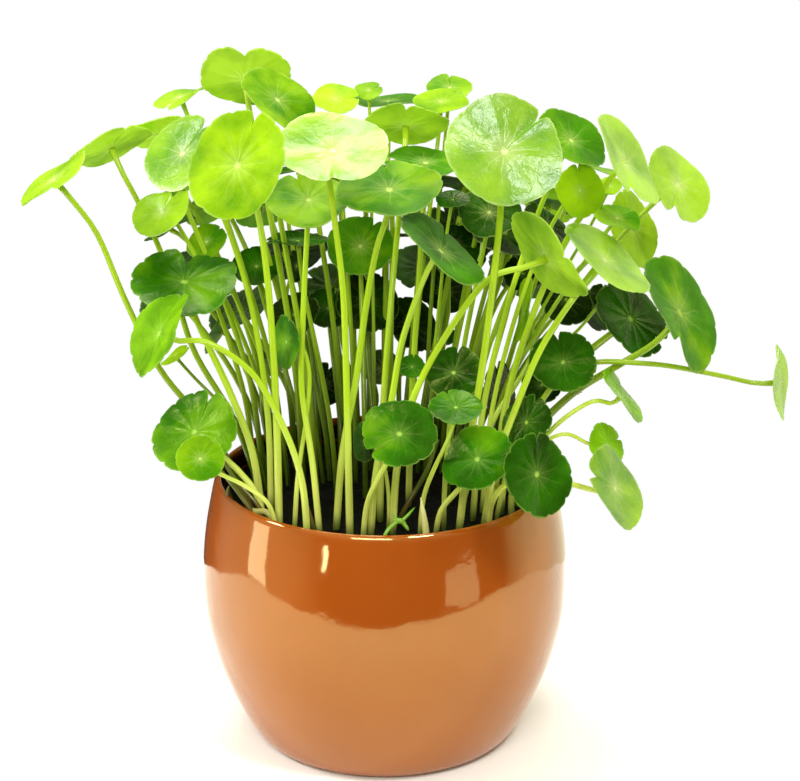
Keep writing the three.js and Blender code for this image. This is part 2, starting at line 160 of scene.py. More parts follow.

# Leaves that close the clump behind, where the camera doesn't see: hub in mm, radius,
# lean, compass turn of the lower edge, turn of the cleft, and tone, partly own green and partly painted
# light and shade. Their feet stand nearer to the middle, at this share of the hub's place.
BACK_FOOT_SHARE = 0.55
BACK_LEAVES = [
    ((-34, 74, 240), 18, 30, 200, 40, 0.75),
    ((40, 82, 236), 17, 32, 160, 200, 0.7),
    ((-52, 96, 205), 16, 50, 205, 80, 0.6),
    ((18, 96, 176), 16, 55, 175, 20, 0.35),
    ((-24, 97, 170), 15, 58, 190, 120, 0.3),
    ((58, 92, 178), 16, 55, 150, 60, 0.4),
    ((-64, 86, 160), 15, 55, 215, 190, 0.3),
    ((84, 42, 238), 15, 25, 120, 30, 0.8),
    ((-86, 54, 224), 16, 42, 240, 150, 0.7),
    ((-92, 40, 184), 15, 55, 235, 90, 0.45),
    ((-88, 62, 186), 14, 50, 230, 220, 0.4),
    ((106, 50, 166), 15, 60, 110, 70, 0.35),
    ((4, 52, 232), 16, 15, 180, 10, 0.45),
    ((-32, 48, 236), 15, 18, 220, 240, 0.45),
    ((46, 52, 238), 16, 15, 140, 130, 0.5),
    ((-62, 56, 238), 15, 25, 230, 60, 0.6),
    ((0, 62, 203), 17, 20, 180, 100, 0.1),
    ((30, 42, 202), 15, 25, 20, 180, 0.08),
    ((54, 36, 208), 15, 30, 30, 160, 0.08),
    ((-6, 44, 176), 14, 52, 20, 170, 0.03),
    ((13, 52, 163), 14, 48, 50, 190, 0.03),
    ((-42, 32, 180), 11, 40, 340, 150, 0.08),
    ((32, 76, 126), 12, 50, 160, 80, 0.15),
    ((76, 62, 136), 12, 50, 130, 200, 0.2),
    ((-50, 84, 136), 12, 55, 205, 20, 0.2),
    ((0, 92, 130), 11, 60, 180, 120, 0.2),
    ((-74, 24, 208), 9, 40, 330, 160, 0.75),
    ((-84, 38, 214), 12, 35, 235, 70, 0.5),
    ((-58, 66, 214), 13, 40, 215, 170, 0.4),
    ((-20, 70, 226), 13, 30, 190, 70, 0.5),
    ((-44, 56, 222), 12, 30, 200, 20, 0.4),
    ((34, 68, 222), 13, 30, 170, 200, 0.4),
    ((56, 66, 222), 13, 30, 160, 100, 0.5),
    ((44, 44, 214), 12, 30, 150, 30, 0.3),
    ((72, 58, 222), 13, 30, 150, 140, 0.5),
    ((16, 58, 222), 12, 30, 190, 60, 0.4),
]

# The solid leaves' tones and their numbers: each tone is partly the leaf's own green, pale when young and
# deep when old, and partly painted light and shade
TONES = {
    1.0: [1, 2, 3, 11, 14, 19, 20, 21, 28, 33, 34, 35, 56],
    0.9: [4, 6, 10, 22, 26, 27, 44],
    0.8: [5, 7, 15, 17, 36, 52],
    0.7: [8, 9, 16, 45, 46],
    0.6: [13, 18, 29, 40, 42, 43, 48],
    0.5: [12, 23, 39, 41],
    0.4: [24, 37, 47],
    0.3: [30, 32, 38, 57],
    0.2: [49, 55],
    0.0: [25, 31, 50, 51, 53, 54],
}

# Leaves whose waxy face shines
SHINY = [1, 4, 5, 10, 17, 20, 21, 22, 27, 33, 36, 52]

# Stalks that leave the soil behind this line stand in the clump's own shade, which is painted into their
# colour low down
SHADE_FROM = -12 * MM

# How deep the rim dips between its lobes, and how high the blade swells there, as shares
# of the radius
SCALLOP = {"shiny": 0.022, "bright_leaf": 0.034, "deep_leaf": 0.055}
QUILT = {"shiny": 0.002, "bright_leaf": 0.0102, "deep_leaf": 0.0165}

# Stems too small for the solids: each piece's skin, and the middle line and the radii of
# each of its stems, in mm
SMALL_STEMS = {
    "new_shoot": ("shoot", [
        ([(-2, -62, 105), (-0.6, -61.4, 111), (1.8, -60, 115.2), (5.4, -57.4, 117.2)],
         [0.75, 0.75, 0.75, 0.8, 0.7]),
        ([(3.6, -57.6, 117.6), (5.6, -57.2, 117.5), (7.6, -57.1, 116.6), (8.6, -57.3, 115.4)],
         [0.2, 1.0, 1.3, 0.9, 0.3]),
        ([(5.2, -57.2, 117.6), (4.2, -56.6, 118.9), (3.2, -56.2, 120)], [0.7, 0.5, 0.1]),
        ([(6.8, -57, 117), (9.4, -55.8, 119.4), (12.2, -54.4, 122.1)], [0.8, 0.7, 0.6, 0.5, 0.1]),
        ([(7.6, -57.2, 116.2), (8.8, -57.7, 114.8), (9.6, -58, 113.6)], [0.9, 0.8, 0.7, 0.3]),
    ]),
    "bud_sheath": ("papery", [
        ([(16.8, -59.6, 105), (16.6, -59.8, 113), (15.6, -59.2, 121), (14.4, -58.4, 128)],
         [1.2, 1.5, 1.4, 1.0, 0.1]),
    ]),
    "old_runner": ("papery", [
        ([(-60, -22, 107.4), (-58.6, -30, 110), (-56, -34.5, 112.4), (-51.8, -38, 113.8),
          (-47.4, -40.6, 114.2), (-43, -43, 108)], [0.8, 1.5, 1.5, 1.3, 1.3, 0.6]),
    ]),
    "dry_stems": ("dry", [
        ([(-50, -40, 105), (-54.5, -37.5, 114), (-60, -34.6, 121.5), (-66, -33, 129), (-72, -31, 136)],
         [1.0, 1.0, 0.9, 0.8, 0.3]),
        ([(-44, -40, 105), (-52, -36.6, 116.5), (-59, -33, 123.5), (-65, -30, 132), (-67, -26, 141)],
         [0.9, 0.9, 0.8, 0.8, 0.3]),
        ([(-52, -30, 105), (-57.5, -29.6, 117), (-62.5, -29, 124.5), (-70, -30, 127.5)],
         [1.6, 1.7, 1.3, 0.4]),
        ([(-60.5, -22.5, 105), (-63.6, -24.4, 113), (-64.2, -25.8, 118.4), (-63.4, -27, 121)],
         [1.8, 2.0, 1.4, 0.2]),
        ([(-27, -46, 105), (-30, -44, 113), (-33, -40, 122), (-35, -34, 131)], [1.1, 1.1, 0.9, 0.5]),
        ([(4, -36, 105), (10, -33, 116), (17, -28, 127), (22, -22, 139)], [1.1, 1.1, 1.0, 0.7]),
    ]),
}
TUBE_SIDES = 10
TUBE_STEPS = 20


def colour(code):
    """An sRGB hex colour as linear red, green, blue and alpha."""
    parts = [int(code[i:i + 2], 16) / 255 for i in (1, 3, 5)]
    linear = [p / 12.92 if p <= 0.04045 else ((p + 0.055) / 1.055) ** 2.4 for p in parts]
    return (*linear, 1)


def add_node(tree, kind, inputs=(), **settings):
    """Adds a node with its settings. Its inputs, in order or by name, are filled, or linked to
    a socket or to the output in use of another node."""
    made = tree.nodes.new("ShaderNode" + kind)
    for name, value in settings.items():
        setattr(made, name, value)
    for name, value in inputs.items() if isinstance(inputs, dict) else enumerate(inputs):
        if isinstance(value, bpy.types.Node):
            value = next(socket for socket in value.outputs if socket.enabled)
        if isinstance(value, bpy.types.NodeSocket):
            tree.links.new(value, made.inputs[name])
        else:
            made.inputs[name].default_value = value
    return made


def empty_material(name):
    """A material without any node yet, and its node tree."""
    material = bpy.data.materials.new(name)
    material.use_nodes = True
    tree = material.node_tree
    tree.nodes.clear()
    return material, tree


def select_none():
    """Nothing is selected and no object is in edit mode."""
    if bpy.context.object and bpy.context.object.mode == "EDIT":
        bpy.ops.object.mode_set(mode="OBJECT")
    bpy.ops.object.select_all(action="DESELECT")


def pick(piece, wanted, kind):
    """Selects only the edges or faces whose every point is wanted, and enters edit mode."""
    bpy.ops.object.mode_set(mode="OBJECT")
    bpy.context.tool_settings.mesh_select_mode = (False, kind == "EDGE", kind == "FACE")
    mesh = piece.data
    chosen = [wanted(v.co) for v in mesh.vertices]
    for parts, picked in ((mesh.edges, kind == "EDGE"), (mesh.polygons, kind == "FACE")):
        for part in parts:
            part.select = picked and all(chosen[i] for i in part.vertices)
    bpy.ops.object.mode_set(mode="EDIT")


# Leaf form, which every leaf is copied from


def model_leaf_form():
    """A disc of radius 1 on an upright stalk, as one closed skin."""
    select_none()
    bpy.ops.mesh.primitive_circle_add(vertices=RIM_STEPS, radius=1, fill_type="NGON")
    form = bpy.context.object
    form.name = "leaf_form"
    bpy.ops.object.mode_set(mode="EDIT")
    bpy.ops.mesh.select_all(action="SELECT")
    bpy.ops.mesh.extrude_region_move(TRANSFORM_OT_translate={"value": (0, 0, -FORM_THICKNESS)})
    for level in (0, -FORM_THICKNESS):
        pick(form, lambda co: abs(co.z - level) < 1e-4, "FACE")
        outer = 1
        for ring in RINGS:
            bpy.ops.mesh.inset(thickness=outer - ring, use_even_offset=True)
            outer = ring
    inside = RINGS[-1] * 1.05
    pick(form, lambda co: abs(co.z) < 1e-4 and co.xy.length < inside, "FACE")
    bpy.ops.mesh.poke()
    low = -FORM_THICKNESS
    pick(form, lambda co: abs(co.z - low) < 1e-4 and co.xy.length < inside, "FACE")
    bpy.ops.mesh.delete(type="ONLY_FACE")
    bpy.ops.mesh.select_mode(type="EDGE")
    bpy.ops.mesh.primitive_circle_add(
        vertices=STALK_SIDES, radius=FORM_STALK_RADIUS, location=(0, 0, FORM_NECK_TOP))
    step = (1 + FORM_NECK_TOP) / STALK_RINGS
    for _ in range(STALK_RINGS):
        bpy.ops.mesh.extrude_region_move(TRANSFORM_OT_translate={"value": (0, 0, -step)})
    bpy.ops.mesh.edge_face_add()
    hole = RINGS[-1] * 1.02
    stalk_top = FORM_NECK_TOP + 1e-4
    pick(form, lambda co: co.xy.length < hole and stalk_top - 2e-4 < co.z < low + 1e-4, "EDGE")
    bpy.ops.mesh.bridge_edge_loops()
    bpy.ops.mesh.select_all(action="SELECT")
    bpy.ops.mesh.normals_make_consistent(inside=False)
    pick(form, lambda co: co.xy.length > 1 - 1e-4, "EDGE")
    bpy.ops.mesh.mark_sharp()
    bpy.ops.object.mode_set(mode="OBJECT")
    for face in form.data.polygons:
        face.use_smooth = True
    return form


def wrapped(places):
    """A face's map on a tube: turns round it, without a jump at the seam, and height."""
    turns = [math.atan2(co.y, co.x) / TAU % 1 for co in places]
    jump = max(turns) - min(turns) > 0.5
    return [(turn + (jump and turn < 0.5), abs(co.z)) for turn, co in zip(turns, places)]


def model_tube_form():
    """A closed tube of radius 1 and height 1."""
    select_none()
    bpy.ops.mesh.primitive_circle_add(vertices=TUBE_SIDES, radius=1, fill_type="NGON")
    form = bpy.context.object
    bpy.ops.object.mode_set(mode="EDIT")
    bpy.ops.mesh.select_all(action="SELECT")
    for _ in range(TUBE_STEPS):
        bpy.ops.mesh.extrude_region_move(TRANSFORM_OT_translate={"value": (0, 0, 1 / TUBE_STEPS)})
    bpy.ops.mesh.select_all(action="SELECT")
    bpy.ops.mesh.normals_make_consistent(inside=False)
    bpy.ops.object.mode_set(mode="OBJECT")
    surface = form.data.uv_layers.new(name="surface")
    for face in form.data.polygons:
        face.use_smooth = True
        spots = wrapped([form.data.vertices[i].co for i in face.vertices])
        for loop, spot in zip(face.loop_indices, spots):
            surface.data[loop].uv = spot
    return form


def finish_form(form):
    """Gives the form its map and its skins: upper face, underside and stalk."""
    mesh = form.data
    surface = mesh.uv_layers.new(name="surface")
    for face in mesh.polygons:
        places = [mesh.vertices[i].co for i in face.vertices]
        if min(co.z for co in places) < FORM_NECK_TOP + 1e-4:
            spots = wrapped(places)
        else:
            spots = [(co.x / 2 + 0.5, co.y / 2 + 0.5) for co in places]
        for loop, spot in zip(face.loop_indices, spots):
            surface.data[loop].uv = spot
    for material in (*SKINS["bright_leaf"], FRESH_STALK):
        mesh.materials.append(material)
    for face in mesh.polygons:
        low = min(mesh.vertices[i].co.z for i in face.vertices)
        if low < FORM_NECK_TOP + 1e-4:
            face.material_index = 2
        elif face.normal.z < -0.5:
            face.material_index = 1


# What the solids say about each leaf


def welded(node):
    """A solid's points, with doubles merged, and its triangles."""
    mesh = frame["nodes"][node].data
    points = np.array([v.co for v in mesh.vertices])
    _, first, place = np.unique(np.round(points / WELD), axis=0, return_index=True, return_inverse=True)
    place = place.ravel()
    return points[first], [[place[i] for i in face.vertices] for face in mesh.polygons]


def neighbours(points, triangles):
    """The points that share an edge with each point."""
    near = [set() for _ in points]
    for triangle in triangles:
        for i in triangle:
            near[i].update(triangle)
    for i, around in enumerate(near):
        around.discard(i)
    return near


def solid_stalk_line(points, near):
    """The middles of a solid stalk's rings, from its foot up to the blade."""
    lowest = points[:, 2].min()
    ring = {i for i, point in enumerate(points) if point[2] < lowest + WELD * 10}
    sides = len(ring)
    seen = set()
    line = []
    while len(ring) == sides:
        line.append(points[list(ring)].mean(0))
        seen |= ring
        ring = set().union(*(near[i] for i in ring)) - seen
    return line[:RINGS_READ]


def area_normals(points, triangles):
    """Each triangle's normal, as long as its area."""
    a, b, c = (points[[triangle[k] for triangle in triangles]] for k in range(3))
    return np.cross(b - a, c - a) / 2


def read_leaf(node):
    """A leaf's hub, rim and stalk line, read from its solid. The rim starts at the cleft."""
    points, triangles = welded(node)
    near = neighbours(points, triangles)
    normals = area_normals(points, triangles)
    areas = np.linalg.norm(normals, axis=1)
    fans = {i: [k for k, triangle in enumerate(triangles) if i in triangle] for i in range(len(points))}
    hub = max((i for i in fans if len(near[i]) >= LOBES), key=lambda i: areas[fans[i]].sum())
    up = normals[fans[hub]].sum(0)
    level = normals @ (up / np.linalg.norm(up)) > LEVEL_ENOUGH * areas
    edges = {
        (a, b) for triangle, on_top in zip(triangles, level) if on_top
        for a, b in zip(triangle, [*triangle[1:], triangle[0]])
    }
    border = {a: b for a, b in edges if (b, a) not in edges}
    reach = np.linalg.norm(points - points[hub], axis=1)
    rim = [max(near[hub], key=lambda i: reach[i])]
    while border[rim[-1]] != rim[0]:
        rim.append(border[rim[-1]])
    start = rim.index(min(rim, key=lambda i: reach[i]))
    return {
        "name": node,
        "hub": points[hub],
        "rim": points[rim[start:] + rim[:start]],
        "line": solid_stalk_line(points, near),
        "slot": SLOT_OF[node],
    }


def compass(turn):
    """The level direction of a compass turn: 0 is the front and 90 the right."""
    return np.array([math.sin(math.radians(turn)), -math.cos(math.radians(turn)), 0])


def planned_leaf(name, hub, foot, radius, lean, toward, cleft, tone):
    """A leaf past the solids, in the same terms as one that was read from a solid."""
    hub = np.array(hub) * MM
    down = compass(toward) * math.cos(math.radians(lean))
    down[2] = -math.sin(math.radians(lean))
    across = np.array([-compass(toward)[1], compass(toward)[0], 0])
    normal = np.cross(down, across)
    draw = random.Random(name)
    cup, fold, crease = draw.uniform(0, 0.08), draw.uniform(0, 0.2), draw.uniform(0, TAU)
    rim = []
    for k in range(LOBES):
        turn = math.radians(cleft) + TAU * k / LOBES
        level = cup + fold * (abs(math.sin(turn - crease)) - 0.64) + 0.05 * math.sin(3 * turn + radius)
        out = down * math.cos(turn) + across * math.sin(turn)
        rim.append(hub + radius * MM * (out + normal * level))
    foot = np.array([foot[0] * MM, foot[1] * MM, SOIL_TOP])
    reach = np.linalg.norm(hub - foot)
    rise = foot + np.array([0, 0, reach * UPRIGHT_SHARE])
    neck = hub - normal * min(NECK_HOLD, reach * NECK_HOLD_SHARE)
    line = [
        (1 - t) ** 3 * foot + 3 * (1 - t) ** 2 * t * rise + 3 * (1 - t) * t ** 2 * neck + t ** 3 * hub
        for t in CURVE_STEPS
    ]
    return {
        "name": name,
        "hub": hub,
        "rim": np.array(rim),
        "line": line,
        "slot": "bright_leaf" if tone > 0.5 else "deep_leaf",
    }


def spot_tree(spots):
    """The spots that leaves take up, ready to be searched."""
    tree = KDTree(len(spots))
    for i, spot in enumerate(spots):
        tree.insert(spot, i)
    tree.balance()
    return tree


def away(points, taken, gap):
    """How far each point has to move to be a gap away from the nearest spot that is taken."""
    moves = []
    for point in points:
        spot, _, distance = taken.find(point)
        direction = (Vector(point) - spot) / max(distance, WELD)
        moves.append(direction * max(0, gap - distance))
    return np.array(moves)


def blade_spots(leaf):
    """Points spread over a leaf's blade."""
    rim = np.concatenate([leaf["rim"], (leaf["rim"] + np.roll(leaf["rim"], 1, axis=0)) / 2])
    rings = [leaf["hub"] + (rim - leaf["hub"]) * share for share in (0.35, 0.7, 1)]
    return np.concatenate([[leaf["hub"]], *rings])


def settle(leaf, taken):
    """Moves a planned leaf clear of the spots that other leaves take up."""
    taken = spot_tree(taken)
    for _ in range(SETTLE_STEPS):
        push = away(blade_spots(leaf), taken, BLADE_GAP)
        pushed = np.linalg.norm(push, axis=1) > 0
        if pushed.any():
            leaf["hub"] = leaf["hub"] + push[pushed].mean(0)
            leaf["rim"] = leaf["rim"] + push[pushed].mean(0)
    line = smooth_line([*leaf["line"], leaf["hub"]], STALK_SPOTS)
    freedom = np.clip((1 - np.linspace(0, 1, STALK_SPOTS)) * 4, 0, 1)[:, None] * [1, 1, 0]
    for _ in range(SETTLE_STEPS):
        line += NUDGE * away(line, taken, STALK_GAP) * freedom
        line[1:-1] = line[1:-1] / 2 + (line[:-2] + line[2:]) / 4
        reach = np.hypot(*line[0, :2])
        line[0, :2] *= min(1, FOOT_REACH / reach)
    leaf["line"] = line[:-1]


# Shaping a copy of the form into one leaf


def smooth_curve(points, between):
    """Points on a smooth curve through the given ones, with as many steps between each two."""
    posts = [np.array(point, float) for point in points]
    posts = [2 * posts[0] - posts[1], *posts, 2 * posts[-1] - posts[-2]]
    fine = [
        0.5 * (2 * b + (c - a) * t + (2 * a - 5 * b + 4 * c - d) * t ** 2
               + (3 * b - a - 3 * c + d) * t ** 3)
        for a, b, c, d in zip(posts, posts[1:], posts[2:], posts[3:])
        for t in np.linspace(0, 1, between, endpoint=False)]
    return np.array([*fine, posts[-2]])


def smooth_line(points, count):
    """A smooth line through the points, as count points spaced evenly along it."""
    fine = smooth_curve(points, 12)
    run = np.concatenate([[0], np.cumsum(np.linalg.norm(np.diff(fine, axis=0), axis=1))])
    at = np.linspace(0, run[-1], count)
    return np.stack([np.interp(at, run, fine[:, k]) for k in range(3)], axis=1)


def frames_along(run):
    """Two directions square to a line at each of its points, without a twist."""
    ahead = np.gradient(run, axis=0)
    ahead /= np.linalg.norm(ahead, axis=1)[:, None]
    side = np.cross(ahead[0], [0.0, 0.0, 1.0])
    if np.linalg.norm(side) < 1e-3:
        side = np.array([1.0, 0.0, 0.0])
    sides = []
    for direction in ahead:
        side = side - direction * side.dot(direction)
        side /= np.linalg.norm(side)
        sides.append(side)
    return np.array(sides), np.cross(ahead, sides)


def bend(run, share, turn, thick):
    """Points round a line: their share of its length, turn round it and distance from it."""
    at = share * (len(run) - 1)
    place, side, other = (
        np.stack([np.interp(at, np.arange(len(run)), table[:, k]) for k in range(3)], axis=1)
        for table in (run, *frames_along(run)))
    return place + thick[:, None] * (side * np.cos(turn)[:, None] + other * np.sin(turn)[:, None])


def shape_stalk(form_points, line, neck, top):
    """Bends the form's stalk points onto a line that runs from the foot to the blade."""
    foot = np.array(line[0]) - np.array([0, 0, FOOT_DEPTH])
    run = smooth_line([foot, *line[1:], top], STALK_STEPS)[::-1]
    share = np.clip((FORM_NECK_TOP - form_points[:, 2]) / (1 + FORM_NECK_TOP), 0, 1)
    turn = np.arctan2(form_points[:, 1], form_points[:, 0])
    flare = 1 + NECK_FLARE * np.exp(-share * 40)
    thick = neck * (1 + (FOOT_TO_NECK - 1) * share ** 0.8) * flare
    return bend(run, share, turn, thick * (1 + 0.03 * np.cos(4 * turn + 2 * share)))


def bend_tube(form, line, radii):
    """A copy of the tube form, bent to a line in mm, with radii spread evenly along it."""
    tube = form.copy()
    tube.data = form.data.copy()
    bpy.context.collection.objects.link(tube)
    points = np.array([v.co for v in tube.data.vertices])
    share = points[:, 2]
    turn = np.arctan2(points[:, 1], points[:, 0])
    thick = np.interp(share, np.linspace(0, 1, len(radii)), radii) * MM
    run = smooth_line(line, 3 * TUBE_STEPS) * MM
    tube.data.vertices.foreach_set("co", bend(run, share, turn, thick).ravel())
    tube.data.update()
    return tube


def lay_small_stems():
    """The new shoot, its sheath, the old runner and dry stems, each joined into one piece."""
    form = model_tube_form()
    skins = {
        "shoot": stalk_material("tender_shoot", "#A8D84A", "#5CA812", "#48900C", 20),
        "papery": stalk_material("papery_sheath", "#E4E08A", "#F2F0B4", "#B9AE5A", 20),
        "dry": stalk_material("dry_stem", "#7A6A2A", "#7A8A28", "#4A4414", 20),
    }
    for name, (skin, stems) in SMALL_STEMS.items():
        parts = [bend_tube(form, line, radii) for line, radii in stems]
        select_none()
        for part in parts:
            part.data.materials.append(skins[skin])
            part.select_set(True)
        piece = bpy.context.view_layer.objects.active = parts[0]
        bpy.ops.object.join()
        piece.name = name
        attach(piece, BODY)
        if name == "old_runner":
            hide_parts("runner")
    bpy.data.objects.remove(form)


def slopes_round(turns, slopes):
    """The rim's rise per unit of radius as a smooth function of the turn."""
    waves = range(1, 5)
    table = lambda t: np.stack(
        [np.ones_like(t), *(np.cos(m * t) for m in waves), *(np.sin(m * t) for m in waves)], axis=1)
    fit = np.linalg.lstsq(table(turns), slopes, rcond=None)[0]
    return lambda t: table(t) @ fit


def rim_edge(turn, look, draw):
    """The rim's reach in shares of the radius: a little uneven, and lower between its lobes."""
    wobble = sum(
        draw.uniform(*RIM_WOBBLE) * np.cos(m * turn + draw.uniform(0, TAU)) for m in (2, 3, 4, 5))
    between = 1 - np.abs(np.sin(LOBES / 2 * turn))
    crumple = 1 - np.abs(np.sin(LOBES * 1.5 * turn + 0.4))
    return 1 + wobble - SCALLOP[look] * (between ** 3 + 0.3 * crumple ** 2)


def blade_level(share, turn, look, draw):
    """The height of a blade's upper face over its mean plane, in shares of the radius: it
    swells between the veins, one lip of the cleft stands higher, and the hub is a dimple."""
    between = 1 - np.abs(np.sin(LOBES / 2 * turn))
    level = QUILT[look] * between * np.sin(np.pi * np.clip(share, 0, 1) ** 0.8 * 0.85)
    lip = np.tanh(turn / 0.06) * np.exp(-np.abs(turn) / 0.35) * share ** 2
    level += LIP_RISE * lip * draw.choice((-1, 1))
    level -= DIMPLE_DEPTH * np.exp(-(share / DIMPLE_REACH) ** 2)
    return level - MARGIN_BEND * np.clip(share - MARGIN_FROM, 0, 1) * 2


def shape_blade(form_points, leaf, radius, normal, toward_cleft, across, draw, look):
    """Moves the form's disc onto a leaf's blade: its rim, cleft, cup, swellings and thickness."""
    share = np.hypot(form_points[:, 0], form_points[:, 1])
    turn = np.arctan2(form_points[:, 1], form_points[:, 0])
    rim = leaf["rim"] - leaf["hub"]
    ahead, aside = rim @ toward_cleft, rim @ across
    slope = slopes_round(np.arctan2(aside, ahead), rim @ normal / np.hypot(ahead, aside))
    half, depth = CLEFTS.get(leaf["name"], CLEFT)
    cleft = depth * np.clip(1 - np.abs(turn) / math.radians(half), 0, 1) ** 1.5
    reach = radius * share * (1 - cleft) * (1 + (rim_edge(turn, look, draw) - 1) * share ** 2)
    real_turn = turn - LIP_PART * np.sin(turn)
    height = reach * slope(real_turn) * (0.55 + 0.45 * share)
    height += radius * blade_level(share, turn, look, draw)
    flat = leaf["hub"] + reach[:, None] * (
        np.cos(real_turn)[:, None] * toward_cleft + np.sin(real_turn)[:, None] * across)
    for i, place in enumerate(flat):
        swelling = sum(high * noise.noise(Vector(place * scale)) for scale, high in SWELLINGS)
        height[i] += swelling * radius * min(1, share[i] * 2)
    under = form_points[:, 2] < -FORM_THICKNESS / 2
    thickness = np.where(share > 0.99, MARGIN_THICKNESS, BLADE_THICKNESS)
    vein = np.abs(np.sin(LOBES / 2 * turn)) ** 24 * np.clip(1 - share, 0, 1)
    relief = VEIN_RELIEF * radius * vein * np.clip(share * 8, 0, 1)
    height -= np.where(under, thickness + relief, 0)
    return flat + height[:, None] * normal


def grow_leaf(form, leaf, tone):
    """A copy of the leaf form, bent to one leaf."""
    draw = random.Random(leaf["name"])
    rim = leaf["rim"] - leaf["hub"]
    normal = sum(np.cross(a, b) for a, b in zip(rim, np.roll(rim, -1, axis=0)))
    normal /= np.linalg.norm(normal)
    toward_cleft = rim[0] - normal * rim[0].dot(normal)
    toward_cleft /= np.linalg.norm(toward_cleft)
    across = np.cross(normal, toward_cleft)
    flat = rim[1:] - np.outer(rim[1:] @ normal, normal)
    radius = np.linalg.norm(flat, axis=1).mean()
    piece = form.copy()
    piece.data = form.data.copy()
    piece.name = leaf["name"] + ("_grown" if leaf["name"] in frame["nodes"] else "")
    bpy.context.collection.objects.link(piece)
    points = np.array([v.co for v in piece.data.vertices])
    on_stalk = points[:, 2] < FORM_NECK_TOP + 1e-4
    neck = NECK_LEAST + NECK_SHARE * radius
    top = leaf["hub"] - normal * (BLADE_THICKNESS + DIMPLE_DEPTH * radius + 0.4 * neck)
    shiny = leaf["name"] in [f"leaf_{number:02d}" for number in SHINY]
    look = "shiny" if shiny else leaf["slot"]
    points[~on_stalk] = shape_blade(
        points[~on_stalk], leaf, radius, normal, toward_cleft, across, draw, look)
    points[on_stalk] = shape_stalk(points[on_stalk], leaf["line"], neck, top)
    piece.data.vertices.foreach_set("co", points.ravel())
    piece.data.update()
    # Stalks behind the line take the copy with painted shade low down
    stalk_skin = SHADED_STALK if leaf["line"][0][1] > SHADE_FROM else FRESH_STALK
    for i, skin in enumerate((*SKINS[look], stalk_skin)):
        piece.data.materials[i] = skin
    # The tone attribute carries the leaf's own green together with painted light and shade
    brightness = piece.data.attributes.new("tone", "FLOAT", "POINT")
    brightness.data.foreach_set("value", [tone] * len(points))
    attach(piece, BODY)
    if leaf["name"] in frame["nodes"]:
        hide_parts(leaf["name"])
    return piece


# Materials

# A pattern's scale is 1 over its grain in metres: in a leaf 48 and 150 are clouds of 21 and
# 7 mm, 340 puckers of 3 mm and 620 a net of veins 1.6 mm apart, in the glaze 30 and 50 are
# clouds and waves of 33 and 20 mm and 240 orange peel of 4 mm, the clay's 900 is grit of
# 1.1 mm, drawn coarser than it is to show, and the soil's 420 is crumbs of 2.4 mm.
# A Mix node's input 0 is its share, 2 and 3 are its numbers, and 6 and 7 its colours.


# Veins in three orders: where they start, how fast they part, their width and strength
VEINS = [(0, 0, 0.013, 1), (0.4, 0.45, 0.01, 0.8), (0.64, 1.2, 0.008, 0.6)]


def vein_pattern(tree):
    """Nodes for a blade's veins from its own map: vein strength, share of the radius, clouds."""
    place = add_node(tree, "TexCoord").outputs["Object"]
    clouds = add_node(tree, "TexNoise", {"Vector": place, "Scale": 150, "Detail": 3})
    mapped = add_node(tree, "UVMap", uv_map="surface")
    swing = add_node(
        tree, "VectorMath", [clouds.outputs["Color"], (0.06, 0.06, 0), mapped], operation="MULTIPLY_ADD")
    centred = add_node(
        tree, "VectorMath", [swing, (2, 2, 0), (-1.06, -1.06, 0)], operation="MULTIPLY_ADD")
    split = add_node(tree, "SeparateXYZ", [centred])
    share = add_node(tree, "VectorMath", [centred], operation="LENGTH")
    turn = add_node(tree, "Math", [split.outputs["Y"], split.outputs["X"]], operation="ARCTAN2")
    lobe = add_node(tree, "Math", [turn, LOBES / TAU], operation="MULTIPLY")
    folded = add_node(tree, "Math", [lobe, 1, 0], operation="WRAP")
    off = add_node(tree, "Math", [folded, 0.5], operation="SUBTRACT")
    aside = add_node(tree, "Math", [off], operation="ABSOLUTE")
    total = None
    for start, spread, width, strength in VEINS:
        past = add_node(tree, "Math", [share, start], operation="SUBTRACT")
        gap = add_node(tree, "Math", [past, -spread, aside], operation="MULTIPLY_ADD")
        apart = add_node(tree, "Math", [gap], operation="ABSOLUTE")
        arc = add_node(tree, "Math", [apart, share], operation="MULTIPLY")
        line = add_node(
            tree, "MapRange",
            {"Value": arc, "From Min": width * 2.4, "From Max": width * 0.3, "To Max": strength},
            interpolation_type="SMOOTHSTEP")
        begun = add_node(tree, "Math", [share, start], operation="GREATER_THAN")
        vein = add_node(tree, "Math", [line, begun], operation="MULTIPLY")
        total = vein if total is None else add_node( tree, "Math", [total, vein], operation="MAXIMUM")
    fading = add_node(
        tree, "MapRange", {"Value": share, "From Min": 0.1, "From Max": 0.8, "To Min": 1, "To Max": 0.12})
    faded = add_node(tree, "Math", [total, fading], operation="MULTIPLY")
    cells = add_node(tree, "TexVoronoi", {"Vector": place, "Scale": 620}, feature="DISTANCE_TO_EDGE")
    net = add_node(tree, "MapRange", {"Value": cells, "From Min": 0.14, "From Max": 0.0, "To Max": 0.16})
    both = add_node(tree, "Math", [faded, net], operation="MAXIMUM")
    return both, share, clouds


